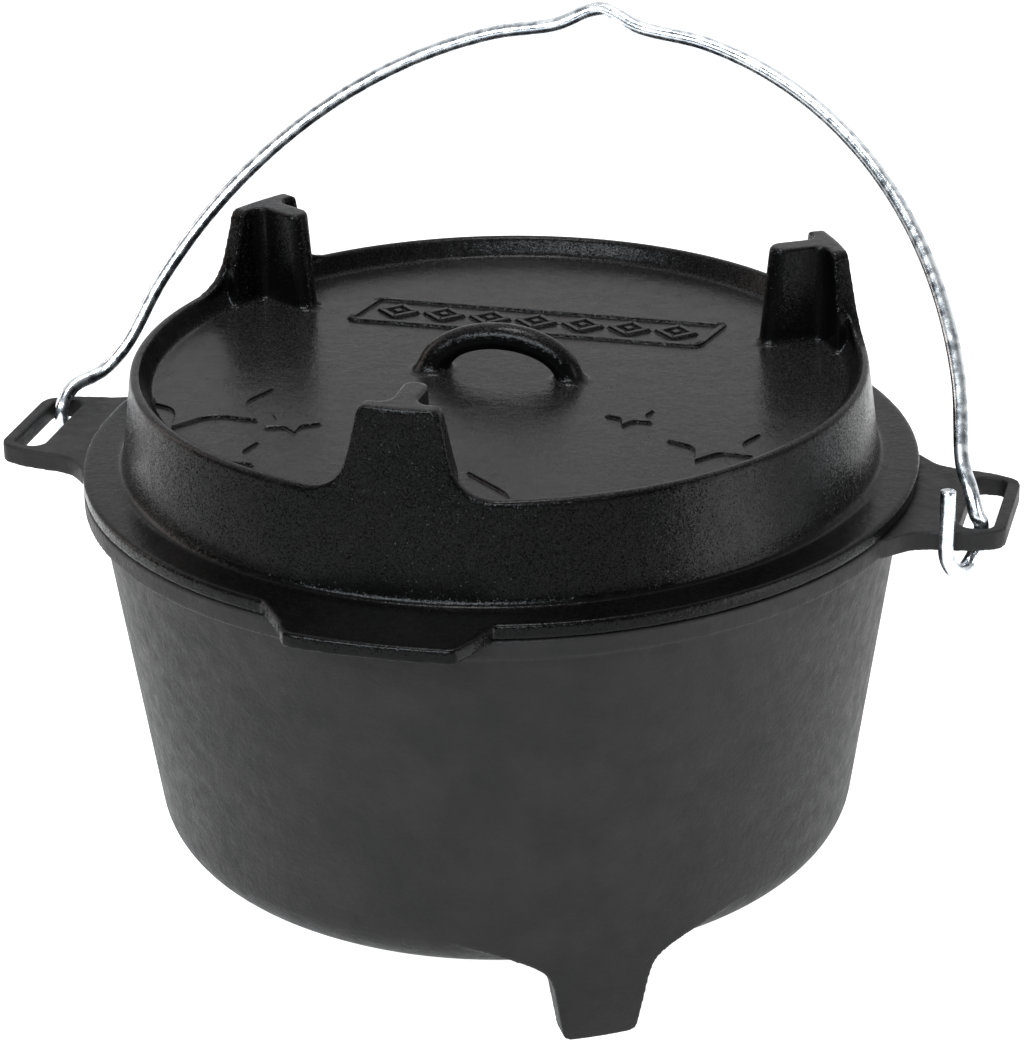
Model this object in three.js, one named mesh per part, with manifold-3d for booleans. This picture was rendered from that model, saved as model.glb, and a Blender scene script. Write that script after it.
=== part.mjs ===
// A nine-quart cast iron camp dutch oven: a footed pot with two slotted ears, a lid that stands on
// three legs when it is turned over, and a wire bail hooked into the ears.
// Millimetres. The origin is the centre of the pot's flat underside, +X runs to the right ear,
// -Y to the front and +Z up.

import * as THREE from "three";
import { mergeVertices } from "three/addons/utils/BufferGeometryUtils.js";
import Module from "manifold-3d";

// Pot.
const RIM_RADIUS = 160;
const RIM_HEIGHT = 149;
const RIM_BAND = 7.5;
const WALL_TOP_RADIUS = 154.4;
const WALL_TAPER = 0.143;
const WALL_THICKNESS = 5;
const CORNER_RADIUS = 21;
const FLOOR_THICKNESS = 6;
const RIM_EDGE = 0.6;
const RIM_NECK = 1.5;
const MOUTH_EDGE = 1;
const FOOT_DROP = 31.5;
const FOOT_ANGLES = [-60, 60, 180];

// Ears, one on each side of the rim.
const EAR_REACH = 197;
const EAR_HALF_WIDTH = 26.7;
const EAR_CORNER = 7;
const EAR_CORNER_SWEEP = 80;
// Points of an ear's edge from the corner to the root: reach along X, then half width.
const EAR_EDGE = [
  [176, 30.5],
  [167, 32.1],
  [160.5, 36],
  [151.3, 46],
  [150, 46],
];
const EAR_EDGE_AT_SLOT = 29.2;
const SLOT_INNER = 179.7;
const SLOT_OUTER = 192.2;
const SLOT_HALF_LENGTH = 24;
const SLOT_CORNER = 4.5;

// Lid.
const SEAT_GAP = 0.3;
const FLANGE_TOP = 155;
const LID_WALL_BASE_RADIUS = 145;
const LID_WALL_TOP_RADIUS = 140;
const LID_RIM_HEIGHT = 192.5;
const LID_RIM_BAND = 3.8;
const LID_FLOOR = 184.8;
const LID_FLOOR_RADIUS = 132.8;
const LID_THICKNESS = 5;
const LIP_DEPTH = 3;
const LIP_RADIUS = 148;
const LID_EDGE = 1;
const LID_HAUNCH = 6;
const TRAY_CORNER = 1.2;
const LEG_TOP = 224.2;
const LEG_ANGLES = [-90, 30, 150];

// Plan of a lid leg: a web across the wall, with a rib behind it.
const LEG_TOP_HALF_WIDTH = 15.2;
const LEG_CORNER = 3;
const LEG_ROOT = 182.8;
// Points of a leg's edge below its corner: half width, then height.
const LEG_WAIST = [
  [18.3, 206],
  [20, 200],
];
const LEG_FLARE = [
  [24, 196],
  [28, 193.6],
  [33, 192.2],
  [33, LEG_ROOT],
];
const FLARE_INNER = 120;
const WEB_INNER = 129;
const RIB_HALF_WIDTH = 4.6;
const RIB_TOP_REACH = 108.5;
const RIB_BASE_REACH = 104.5;
const RIB_EDGE = 1.5;

// Plan of a pot foot.
const FOOT_TIP_HALF_WIDTH = 14.2;
const FOOT_CORNER = 3;
// Points of a foot's edge above its corner: half width, then height.
const FOOT_WAIST = [18.8, -4];
const FOOT_FLARE = [
  [21.8, 2],
  [26.8, 6.2],
  [36, 10],
  [36, 16],
];
const FOOT_TOP = 16;
const FOOT_WEB = 9;
const FOOT_FLARE_DEPTH = 8;
const FOOT_RIB_REACH = 22;
const FOOT_RIB_DRAFT = 1;

// Front pull tab on the flange.
const TAB_REACH = 179.2;
// Points of the tab's edge from its front corner to its root: half width, then reach.
const TAB_EDGE = [
  [25.5, 178.6],
  [29.5, 176.4],
  [32.1, 172],
  [39, 150],
];

// Loop handle in the middle of the lid.
const LOOP_HALF_SPAN = 26.5;
const LOOP_RISE = 15.6;
const LOOP_RADIUS = 5.2;
const LOOP_OVERRUN = 0.12;
const LOOP_SIDES = 12;
const LOOP_STEPS = 18;

// Raised ornament on the lid.
const RELIEF = 1.15;
const RELIEF_ROOT = 1;
const STAR_POINTS = 5;
const STAR_WAIST = 0.48;
const STAR_ROUNDING = 0.35;
const STARS = [
  { x: -99, y: -52.5, radius: 27, turn: 43 },
  { x: -62.3, y: -64.5, radius: 10.9, turn: 5 },
  { x: -79.8, y: -99, radius: 17.6, turn: 49 },
  { x: 59, y: -32, radius: 9.6, turn: 45 },
  { x: 94.8, y: -51, radius: 18, turn: 40 },
  { x: 57, y: -108, radius: 45, turn: 93 },
];
const PANEL_HALF_LENGTH = 75;
const PANEL_FRONT = 43.5;
const PANEL_BACK = 70.5;
const PANEL_SLANT = 6;
const PANEL_BORDER = 2.2;
const LOZENGE_COUNT = 7;
const LOZENGE_HALF_LENGTH = 8;
const LOZENGE_HALF_WIDTH = 6;

// Wire bail. Its arch is an ellipse in a plane that leans back from the hinge axis.
const WIRE_RADIUS = 2.85;
const WIRE_SIDES = 8;
const WIRE_STEPS = 190;
const BAIL_LEAN = 40;
const HOOK_RADIUS = 9.2;
const HOOK_DROP = 3.5;
const HOOK_LEG = 3;
const HOOK_TWIST = 7.6;
const HOOK_STEPS = 6;
const ARCH_SHIFT = 2.7;
const ARCH_HALF_SPAN = 178.7;
const ARCH_CENTRE = -12.1;
const ARCH_RISE = 200.9;
const ARCH_FOOT = 28.3;
const ARCH_STEPS = 8;
const PEAK_SHIFT = -6.3;
const PEAK_RISE = 6.1;
const PEAK_HALF_WIDTH = 17;
const PEAK_STEP = 5.67;
const PEAK_STEP_RISE = 4.58;
// What differs between the two hooks: the height of the cut tip, and the bend between hook and arch.
// Steps are counted inward from the hook's leg. The first point of the bend is given as step, depth
// and height, and the second as step and reach up the leaning plane.
const RIGHT_HOOK = { side: 1, tip: 22, low: [1.5, 8.4, 6.5], high: [5, 18.5] };
const LEFT_HOOK = { side: -1, tip: 0.5, low: [1, -1.1, 8.9], high: [8.5, 16.5] };

// Added parts stay this far inside the wall's outer face, so that no two faces coincide.
const FACE_INSET = 0.15;
const OVERRUN = 2;
const SMALLEST_EDGE = 0.02;
const SAME_POINT = 1e-4;

// Steps round the turned shapes, their bends and the plates' corners.
const SEGMENTS = 72;
const BEND_STEPS = 6;
const CORNER_STEPS = 3;
// A leg's or foot's corner stops this many degrees short of upright.
const CORNER_DRAFT = 10;

// Derived.
const SEAT = RIM_HEIGHT + SEAT_GAP;
const RIM_UNDERSIDE = RIM_HEIGHT - RIM_BAND;
const BASE_RADIUS = WALL_TOP_RADIUS - WALL_TAPER * RIM_UNDERSIDE;
const WALL_SLOPE = Math.atan(WALL_TAPER);
const LID_TAPER = (LID_WALL_BASE_RADIUS - LID_WALL_TOP_RADIUS) / (LID_RIM_HEIGHT - FLANGE_TOP);
const EAR_MIDDLE = RIM_HEIGHT - RIM_BAND / 2;
const BAR_CENTRE = (SLOT_HALF_LENGTH + EAR_EDGE_AT_SLOT) / 2;
const BAR_X = (SLOT_INNER + SLOT_OUTER) / 2;
const BAIL_YAW = Math.atan2(-BAR_CENTRE, BAR_X);
const HOOK_OFFSET = Math.hypot(BAR_X, BAR_CENTRE);

const wasm = await Module();
wasm.setup();

const castIron = (name) =>
  new THREE.MeshStandardMaterial({ name, color: 0x2b2929, roughness: 0.55, metalness: 0.6 });
const zincWire = new THREE.MeshStandardMaterial({
  name: "zinc_wire",
  color: 0xb9c0c4,
  roughness: 0.3,
  metalness: 1,
});

const radians = THREE.MathUtils.degToRad;
const point = (x, y) => new THREE.Vector2(x, y);

function toSolid(geometry) {
  const bare = geometry.clone();
  bare.deleteAttribute("normal");
  bare.deleteAttribute("uv");
  const merged = mergeVertices(bare, SAME_POINT);
  const corners = merged.index.array;
  const triangles = [];
  for (let i = 0; i < corners.length; i += 3) {
    const [a, b, c] = corners.slice(i, i + 3);
    if (a !== b && b !== c && c !== a) {
      triangles.push(a, b, c);
    }
  }
  return new wasm.Manifold(
    new wasm.Mesh({
      numProp: 3,
      vertProperties: new Float32Array(merged.attributes.position.array),
      triVerts: new Uint32Array(triangles),
    }),
  );
}

function toMesh(name, solid, material) {
  const { vertProperties, triVerts } = solid.simplify(SMALLEST_EDGE).getMesh();
  const geometry = new THREE.BufferGeometry();
  geometry.setAttribute("position", new THREE.BufferAttribute(new Float32Array(vertProperties), 3));
  geometry.setIndex(new THREE.BufferAttribute(new Uint32Array(triVerts), 1));
  geometry.computeVertexNormals();
  const mesh = new THREE.Mesh(geometry, material);
  mesh.name = name;
  return mesh;
}

// A closed or on-axis profile of [radius, height] pairs, anticlockwise, turned about Z.
function turned(profile) {
  const outline = profile.map(([radius, height]) => point(radius, height));
  const geometry = new THREE.LatheGeometry(outline, SEGMENTS);
  geometry.rotateX(Math.PI / 2);
  return toSolid(geometry);
}

function extruded(shape, depth, curveSegments = CORNER_STEPS) {
  return new THREE.ExtrudeGeometry(shape, { depth, bevelEnabled: false, curveSegments });
}

// A flat plate: a shape in X and Y between two heights.
function plate(shape, bottom, top) {
  const geometry = extruded(shape, top - bottom);
  geometry.translate(0, 0, bottom);
  return toSolid(geometry);
}

// A standing plate: a shape across the radius and up, between two radii, turned to an angle.
function standing(shape, inner, outer, angle) {
  const geometry = extruded(shape, outer - inner);
  geometry.translate(0, 0, inner);
  const axes = new THREE.Matrix4().makeBasis(
    new THREE.Vector3(0, 1, 0),
    new THREE.Vector3(0, 0, 1),
    new THREE.Vector3(1, 0, 0),
  );
  geometry.applyMatrix4(axes);
  geometry.rotateZ(radians(angle));
  return toSolid(geometry);
}

// Points of an arc, from one angle to another in degrees.
function arc(x, y, radius, from, to, steps) {
  const points = [];
  for (let i = 0; i <= steps; i += 1) {
    const angle = radians(from + ((to - from) * i) / steps);
    points.push([x + radius * Math.cos(angle), y + radius * Math.sin(angle)]);
  }
  return points;
}

function polygon(points) {
  return new THREE.Shape(points.map(([x, y]) => point(x, y)));
}

// The half outline from the middle of the tip round to the root, mirrored to both sides.
function symmetric(half) {
  const other = half.map(([x, y]) => [-x, y]).reverse();
  return polygon([...half, ...other]);
}

function joinAll(solids) {
  return solids.reduce((whole, next) => whole.add(next));
}

const potRadiusAt = (height) => BASE_RADIUS + WALL_TAPER * height;
const lidRadiusAt = (height) => LID_WALL_TOP_RADIUS + LID_TAPER * (LID_RIM_HEIGHT - height);

// The corner between underside and wall: an arc tangent to both.
function cornerArc(outerRadius, floorHeight, radius) {
  const turn = 90 - THREE.MathUtils.radToDeg(WALL_SLOPE);
  const along = radius * Math.tan(radians(turn / 2));
  const centre = outerRadius - along;
  return arc(centre, floorHeight + radius, radius, -90, -90 + turn, BEND_STEPS);
}

function potBowl() {
  const innerTop = WALL_TOP_RADIUS - WALL_THICKNESS;
  const innerBase = potRadiusAt(FLOOR_THICKNESS) - WALL_THICKNESS;
  const innerCorner = cornerArc(innerBase, FLOOR_THICKNESS, CORNER_RADIUS - WALL_THICKNESS);
  return turned([
    [0, 0],
    ...cornerArc(BASE_RADIUS, 0, CORNER_RADIUS),
    [potRadiusAt(RIM_UNDERSIDE - RIM_NECK), RIM_UNDERSIDE - RIM_NECK],
    [WALL_TOP_RADIUS + RIM_NECK, RIM_UNDERSIDE],
    [RIM_RADIUS - RIM_EDGE, RIM_UNDERSIDE],
    [RIM_RADIUS, RIM_UNDERSIDE + RIM_EDGE],
    [RIM_RADIUS, RIM_HEIGHT - RIM_EDGE],
    [RIM_RADIUS - RIM_EDGE, RIM_HEIGHT],
    [innerTop + MOUTH_EDGE, RIM_HEIGHT],
    [innerTop, RIM_HEIGHT - MOUTH_EDGE],
    ...innerCorner.reverse(),
    [0, FLOOR_THICKNESS],
  ]);
}

// An ear's front half: the end bar, the corner, the waist and the sweep into the rim.
function earOutline() {
  const middle = EAR_REACH - EAR_CORNER;
  const tip = arc(middle, EAR_HALF_WIDTH - EAR_CORNER, EAR_CORNER, 0, EAR_CORNER_SWEEP, CORNER_STEPS);
  return [...tip, ...EAR_EDGE];
}

function roundedRectangle(x0, x1, y0, y1, corner) {
  return [
    ...arc(x1 - corner, y0 + corner, corner, -90, 0, CORNER_STEPS),
    ...arc(x1 - corner, y1 - corner, corner, 0, 90, CORNER_STEPS),
    ...arc(x0 + corner, y1 - corner, corner, 90, 180, CORNER_STEPS),
    ...arc(x0 + corner, y0 + corner, corner, 180, 270, CORNER_STEPS),
  ];
}

function ear(side) {
  const half = earOutline();
  const other = half.map(([x, y]) => [x, -y]).reverse();
  const shape = polygon([...half, ...other]);
  const slot = roundedRectangle(
    SLOT_INNER,
    SLOT_OUTER,
    -SLOT_HALF_LENGTH,
    SLOT_HALF_LENGTH,
    SLOT_CORNER,
  );
  shape.holes.push(polygon(slot));
  const solid = plate(shape, RIM_UNDERSIDE, RIM_HEIGHT);
  return side > 0 ? solid : solid.rotate([0, 0, 180]);
}

// Half of a foot's front view: rounded tip, wider waist and, if asked for, a sweep up to the pot.
function footOutline(flare) {
  const tip = arc(
    -FOOT_TIP_HALF_WIDTH + FOOT_CORNER,
    -FOOT_DROP + FOOT_CORNER,
    FOOT_CORNER,
    270,
    180 + CORNER_DRAFT,
    CORNER_STEPS,
  );
  const above = flare ? FOOT_FLARE : [[FOOT_WAIST[0], FOOT_TOP]];
  return [...tip, ...[FOOT_WAIST, ...above].map(([half, height]) => [-half, height])];
}

function feet(bodyOfWall) {
  const webInner = potRadiusAt(-FOOT_DROP) - FOOT_WEB;
  const rib = symmetric([
    [-RIB_HALF_WIDTH, -FOOT_DROP],
    [-RIB_HALF_WIDTH - FOOT_RIB_DRAFT, FLOOR_THICKNESS / 2],
  ]);
  return FOOT_ANGLES.map((angle) =>
    joinAll([
      standing(symmetric(footOutline(false)), webInner, RIM_RADIUS, angle),
      standing(symmetric(footOutline(true)), potRadiusAt(0) - FOOT_FLARE_DEPTH, RIM_RADIUS, angle),
      standing(rib, webInner - FOOT_RIB_REACH, RIM_RADIUS, angle),
    ]).intersect(bodyOfWall),
  );
}

// Everything inside the wall's outer face, carried on down to the foot tips.
function potEnvelope() {
  const top = FOOT_TOP + OVERRUN;
  const bottom = -FOOT_DROP - OVERRUN;
  return turned([
    [0, bottom],
    [potRadiusAt(bottom) - FACE_INSET, bottom],
    [potRadiusAt(top) - FACE_INSET, top],
    [0, top],
  ]);
}

// The inside of the pot's lower half, which keeps the feet out of it.
function potCavity() {
  const top = CORNER_RADIUS * 2;
  const wall = (height) => potRadiusAt(height) - WALL_THICKNESS;
  return turned([
    [0, FLOOR_THICKNESS],
    ...cornerArc(wall(FLOOR_THICKNESS), FLOOR_THICKNESS, CORNER_RADIUS - WALL_THICKNESS),
    [wall(top), top],
    [0, top],
  ]);
}

function pot() {
  const solid = joinAll([potBowl(), ear(1), ear(-1), ...feet(potEnvelope())]);
  return solid.subtract(potCavity());
}

function lidShell() {
  const innerWall = (height) => lidRadiusAt(height) - LID_THICKNESS;
  const ceiling = LID_FLOOR - LID_THICKNESS;
  return turned([
    [0, ceiling],
    [innerWall(ceiling) - LID_HAUNCH, ceiling],
    [innerWall(ceiling - LID_HAUNCH), ceiling - LID_HAUNCH],
    [innerWall(SEAT), SEAT - LIP_DEPTH],
    [LIP_RADIUS, SEAT - LIP_DEPTH],
    [LIP_RADIUS, SEAT],
    [RIM_RADIUS - RIM_EDGE, SEAT],
    [RIM_RADIUS, SEAT + RIM_EDGE],
    [RIM_RADIUS, FLANGE_TOP - LID_EDGE],
    [RIM_RADIUS - LID_EDGE, FLANGE_TOP],
    [LID_WALL_BASE_RADIUS + LID_EDGE, FLANGE_TOP],
    [lidRadiusAt(FLANGE_TOP + LID_EDGE), FLANGE_TOP + LID_EDGE],
    [lidRadiusAt(LID_RIM_HEIGHT - LID_EDGE), LID_RIM_HEIGHT - LID_EDGE],
    [LID_WALL_TOP_RADIUS - LID_EDGE, LID_RIM_HEIGHT],
    [LID_WALL_TOP_RADIUS - LID_RIM_BAND + RIM_EDGE, LID_RIM_HEIGHT],
    [LID_WALL_TOP_RADIUS - LID_RIM_BAND, LID_RIM_HEIGHT - LID_EDGE],
    [LID_FLOOR_RADIUS + TRAY_CORNER / 2, LID_FLOOR + TRAY_CORNER],
    [LID_FLOOR_RADIUS - TRAY_CORNER, LID_FLOOR],
    [0, LID_FLOOR],
  ]);
}

// The wall's outer face carried on up to the leg tops, solid or as a thin ring.
function lidEnvelope(bore) {
  const bottom = LEG_ROOT - OVERRUN;
  const top = LEG_TOP + OVERRUN;
  return turned([
    [bore, bottom],
    [lidRadiusAt(bottom) - FACE_INSET, bottom],
    [lidRadiusAt(top) - FACE_INSET, top],
    [bore, top],
    ...(bore > 0 ? [[bore, bottom]] : []),
  ]);
}

// Half of a leg's front view, from the middle of its top down to the root.
function legOutline(below) {
  const corner = arc(
    -LEG_TOP_HALF_WIDTH + LEG_CORNER,
    LEG_TOP - LEG_CORNER,
    LEG_CORNER,
    90,
    180 - CORNER_DRAFT,
    CORNER_STEPS,
  );
  return symmetric([...corner, ...[...LEG_WAIST, ...below].map(([half, height]) => [-half, height])]);
}

function legs() {
  const web = legOutline([[LEG_WAIST[1][0], LEG_ROOT]]);
  const flare = legOutline(LEG_FLARE);
  const rib = polygon([
    [WEB_INNER + OVERRUN, LEG_ROOT],
    [WEB_INNER + OVERRUN, LEG_TOP],
    [RIB_TOP_REACH + RIB_EDGE, LEG_TOP],
    [RIB_TOP_REACH, LEG_TOP - RIB_EDGE],
    [RIB_BASE_REACH, LEG_ROOT],
  ]);
  const block = lidEnvelope(0);
  const ring = lidEnvelope(LID_WALL_TOP_RADIUS - LID_RIM_BAND - LID_EDGE);
  return LEG_ANGLES.map((angle) => {
    const face = standing(web, WEB_INNER, RIM_RADIUS, angle).intersect(block);
    const sweep = standing(flare, FLARE_INNER, RIM_RADIUS, angle).intersect(ring);
    return joinAll([face, sweep, ribPlate(rib, angle)]);
  });
}

// The rib stands along the radius, so its shape is radius and height.
function ribPlate(shape, angle) {
  const geometry = extruded(shape, RIB_HALF_WIDTH * 2);
  geometry.translate(0, 0, -RIB_HALF_WIDTH);
  geometry.rotateX(Math.PI / 2);
  geometry.rotateZ(radians(angle));
  return toSolid(geometry);
}

function tab() {
  const half = TAB_EDGE.map(([width, reach]) => [width, -reach]);
  const other = half.map(([x, y]) => [-x, y]).reverse();
  return plate(polygon([[0, -TAB_REACH], ...half, ...other]), SEAT, FLANGE_TOP);
}

// Half an ellipse, carried on a little below the lid's floor at both ends.
class LoopPath extends THREE.Curve {
  getPoint(t, target = new THREE.Vector3()) {
    const angle = Math.PI * (1 + LOOP_OVERRUN - (1 + 2 * LOOP_OVERRUN) * t);
    const rise = LID_FLOOR + LOOP_RISE * Math.sin(angle);
    return target.set(LOOP_HALF_SPAN * Math.cos(angle), 0, rise);
  }
}

function wireSection(radius, sides) {
  return polygon(arc(0, 0, radius, 0, 360 - 360 / sides, sides - 1));
}

// The loop is cut level at its feet, which stand on the lid's floor.
function loopHandle() {
  const geometry = new THREE.ExtrudeGeometry(wireSection(LOOP_RADIUS, LOOP_SIDES), {
    steps: LOOP_STEPS,
    bevelEnabled: false,
    extrudePath: new LoopPath(),
  });
  return toSolid(geometry).trimByPlane([0, 0, 1], LID_FLOOR + SEAT_GAP);
}

// A shape raised above the lid's floor, with its root sunk into it.
function raised(shape) {
  return plate(shape, LID_FLOOR - RELIEF_ROOT, LID_FLOOR + RELIEF);
}

// Five points with rounded waists between them.
function starShape({ x, y, radius, turn }) {
  const at = (reach, step) => {
    const angle = radians(turn + (360 / STAR_POINTS) * step);
    return point(x + reach * Math.cos(angle), y + reach * Math.sin(angle));
  };
  const shape = new THREE.Shape();
  for (let i = 0; i < STAR_POINTS; i += 1) {
    const tip = at(radius, i);
    const waist = at(radius * STAR_WAIST, i + 0.5);
    const before = waist.clone().lerp(tip, STAR_ROUNDING);
    const after = waist.clone().lerp(at(radius, i + 1), STAR_ROUNDING);
    if (i === 0) {
      shape.moveTo(tip.x, tip.y);
    } else {
      shape.lineTo(tip.x, tip.y);
    }
    shape.lineTo(before.x, before.y);
    shape.quadraticCurveTo(waist.x, waist.y, after.x, after.y);
  }
  return shape;
}

function stars() {
  const floorDisc = turned([
    [0, LID_FLOOR - RELIEF_ROOT],
    [LID_FLOOR_RADIUS - RELIEF_ROOT, LID_FLOOR - RELIEF_ROOT],
    [LID_FLOOR_RADIUS - RELIEF_ROOT, LID_FLOOR + RELIEF],
    [0, LID_FLOOR + RELIEF],
  ]);
  return STARS.map((star) => raised(starShape(star)).intersect(floorDisc));
}

// A slanted frame that holds a row of lozenges.
function panel() {
  const slanted = (inset) => [
    [-PANEL_HALF_LENGTH + inset, PANEL_FRONT + inset],
    [PANEL_HALF_LENGTH - PANEL_SLANT - inset, PANEL_FRONT + inset],
    [PANEL_HALF_LENGTH - inset, PANEL_BACK - inset],
    [-PANEL_HALF_LENGTH + PANEL_SLANT + inset, PANEL_BACK - inset],
  ];
  const frame = polygon(slanted(0));
  frame.holes.push(polygon(slanted(PANEL_BORDER)));
  const pieces = [raised(frame)];
  const middle = (PANEL_FRONT + PANEL_BACK) / 2;
  const spacing = (2 * PANEL_HALF_LENGTH - 3 * PANEL_SLANT) / LOZENGE_COUNT;
  for (let i = 0; i < LOZENGE_COUNT; i += 1) {
    const centre = (i - (LOZENGE_COUNT - 1) / 2) * spacing;
    const lozenge = polygon([
      [centre - LOZENGE_HALF_LENGTH, middle],
      [centre, middle - LOZENGE_HALF_WIDTH],
      [centre + LOZENGE_HALF_LENGTH, middle],
      [centre, middle + LOZENGE_HALF_WIDTH],
    ]);
    pieces.push(raised(lozenge));
  }
  return joinAll(pieces);
}

function lid() {
  return joinAll([lidShell(), tab(), ...legs(), panel(), ...stars()]);
}

// The bail's own axes at rest: along the hinge, straight back from it, and up.
const along = new THREE.Vector3(Math.cos(BAIL_YAW), Math.sin(BAIL_YAW), 0);
const back = new THREE.Vector3(-Math.sin(BAIL_YAW), Math.cos(BAIL_YAW), 0);

function bailPoint(span, depth, height) {
  return new THREE.Vector3(0, 0, EAR_MIDDLE + height)
    .addScaledVector(along, span)
    .addScaledVector(back, depth);
}

function leaning(span, reach) {
  const lean = radians(BAIL_LEAN);
  return bailPoint(span, reach * Math.sin(lean), reach * Math.cos(lean));
}

// One hook, from its cut tip, down and round under the bar, to the foot of the arch.
// On the right it opens to the front of the bar and on the left to the back.
function hook({ side, tip, low, high }) {
  const leg = HOOK_OFFSET * side;
  const free = (HOOK_OFFSET - HOOK_TWIST) * side;
  const depth = HOOK_RADIUS * side;
  const points = [bailPoint(free, -depth, tip), bailPoint(free, -depth, tip / 2)];
  for (let i = 0; i <= HOOK_STEPS; i += 1) {
    const angle = (Math.PI * i) / HOOK_STEPS;
    const span = free + ((leg - free) * i) / HOOK_STEPS;
    const height = -HOOK_DROP - HOOK_RADIUS * Math.sin(angle);
    points.push(bailPoint(span, -depth * Math.cos(angle), height));
  }
  points.push(bailPoint(leg, depth, HOOK_LEG));
  points.push(bailPoint(leg - low[0] * side, low[1], low[2]));
  points.push(leaning(leg - high[0] * side, high[1]));
  return points;
}

function archHalf(side) {
  const start = Math.asin((ARCH_FOOT - ARCH_CENTRE) / ARCH_RISE);
  const shoulder = PEAK_SHIFT + PEAK_HALF_WIDTH * side;
  const end = Math.acos(((shoulder - ARCH_SHIFT) * side) / ARCH_HALF_SPAN);
  const points = [];
  for (let i = 0; i <= ARCH_STEPS; i += 1) {
    const angle = start + ((end - start) * i) / ARCH_STEPS;
    const span = ARCH_SHIFT + ARCH_HALF_SPAN * Math.cos(angle) * side;
    points.push(leaning(span, ARCH_CENTRE + ARCH_RISE * Math.sin(angle)));
  }
  return points;
}

// The two halves meet in a small kink at the top.
function bailPath() {
  const top = ARCH_CENTRE + ARCH_RISE;
  const left = [...hook(LEFT_HOOK), ...archHalf(-1)];
  const right = [...hook(RIGHT_HOOK), ...archHalf(1)].reverse();
  const peak = [
    leaning(PEAK_SHIFT - PEAK_STEP, top + PEAK_STEP_RISE),
    leaning(PEAK_SHIFT, top + PEAK_RISE),
    leaning(PEAK_SHIFT + PEAK_STEP, top + PEAK_STEP_RISE),
  ];
  return new THREE.CatmullRomCurve3([...left, ...peak, ...right], false, "centripetal");
}

function bail() {
  const geometry = new THREE.ExtrudeGeometry(wireSection(WIRE_RADIUS, WIRE_SIDES), {
    steps: WIRE_STEPS,
    bevelEnabled: false,
    extrudePath: bailPath(),
  });
  return toSolid(geometry);
}

const dutchOven = new THREE.Group();
dutchOven.add(toMesh("pot", pot(), castIron("pot_iron")));
dutchOven.add(toMesh("lid", lid(), castIron("lid_iron")));
dutchOven.add(toMesh("loop_handle", loopHandle(), castIron("lid_iron")));
dutchOven.add(toMesh("bail", bail(), zincWire));

export default dutchOven;
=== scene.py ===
import math

import bpy
import numpy as np
from mathutils import Matrix, Vector
from mathutils.geometry import tessellate_polygon


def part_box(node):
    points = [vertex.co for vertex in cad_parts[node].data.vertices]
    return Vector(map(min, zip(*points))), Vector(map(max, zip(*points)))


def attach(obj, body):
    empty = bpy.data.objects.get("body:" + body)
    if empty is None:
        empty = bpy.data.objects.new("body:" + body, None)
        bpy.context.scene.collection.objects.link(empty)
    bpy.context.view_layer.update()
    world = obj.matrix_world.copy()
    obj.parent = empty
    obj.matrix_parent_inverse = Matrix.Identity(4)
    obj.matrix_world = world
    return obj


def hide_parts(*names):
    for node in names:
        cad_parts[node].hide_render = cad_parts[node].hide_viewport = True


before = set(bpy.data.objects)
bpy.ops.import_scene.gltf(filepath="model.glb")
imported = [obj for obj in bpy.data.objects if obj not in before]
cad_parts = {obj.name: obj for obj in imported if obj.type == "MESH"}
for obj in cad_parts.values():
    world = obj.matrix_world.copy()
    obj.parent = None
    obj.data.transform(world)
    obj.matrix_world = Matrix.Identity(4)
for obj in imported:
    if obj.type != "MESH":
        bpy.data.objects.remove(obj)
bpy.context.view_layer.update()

MM = 0.001

# ---------------------------------------------------------------- sizes, in millimetres
RIM_RADIUS = 160
RIM_HEIGHT = 149
RIM_UNDERSIDE = 141.5
WALL_TOP_RADIUS = 154.4
WALL_TAPER = 0.143
WALL_THICKNESS = 5
CORNER_RADIUS = 21
FLOOR_THICKNESS = 6
FOOT_BOTTOM = -31.5
FOOT_ANGLES = (-60, 60, 180)
SEAT = 149.3
FLANGE_TOP = 155
LID_BASE_RADIUS = 145
LID_TOP_RADIUS = 140
LID_RIM = 192.5
LID_FLOOR = 184.8
LID_THICKNESS = 5
LID_HAUNCH = 6
LIP_DEPTH = 3
LIP_RADIUS = 148
LEG_TOP = 224.2
LEG_ANGLES = (-90, 30, 150)
BASE_RADIUS = WALL_TOP_RADIUS - WALL_TAPER * RIM_UNDERSIDE
LID_TAPER = (LID_BASE_RADIUS - LID_TOP_RADIUS) / (LID_RIM - FLANGE_TOP)


def pot_radius(z):
    return BASE_RADIUS + WALL_TAPER * z


def lid_radius(z):
    return LID_TOP_RADIUS + LID_TAPER * (LID_RIM - z)


# ---------------------------------------------------------------- closed solids as (vertices, faces)
TURN_STEPS = 360


def turned(profile):
    """A closed outline of (radius, height), or one that starts and ends on the axis, turned about Z."""
    verts, rings = [], []
    for r, z in profile:
        if r < 1e-6:
            rings.append([len(verts)])
            verts.append((0, 0, z))
        else:
            start = len(verts)
            for i in range(TURN_STEPS):
                a = 2 * math.pi * i / TURN_STEPS
                verts.append((r * math.cos(a), r * math.sin(a), z))
            rings.append(list(range(start, start + TURN_STEPS)))
    faces = []
    pairs = list(zip(rings, rings[1:]))
    if len(rings[0]) > 1:
        pairs.append((rings[-1], rings[0]))
    for low, high in pairs:
        if len(low) == 1 and len(high) == 1:
            continue
        for i in range(TURN_STEPS):
            j = (i + 1) % TURN_STEPS
            if len(low) == 1:
                faces.append((low[0], high[j], high[i]))
            elif len(high) == 1:
                faces.append((low[i], low[j], high[0]))
            else:
                faces.append((low[i], low[j], high[j], high[i]))
    return verts, faces


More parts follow.
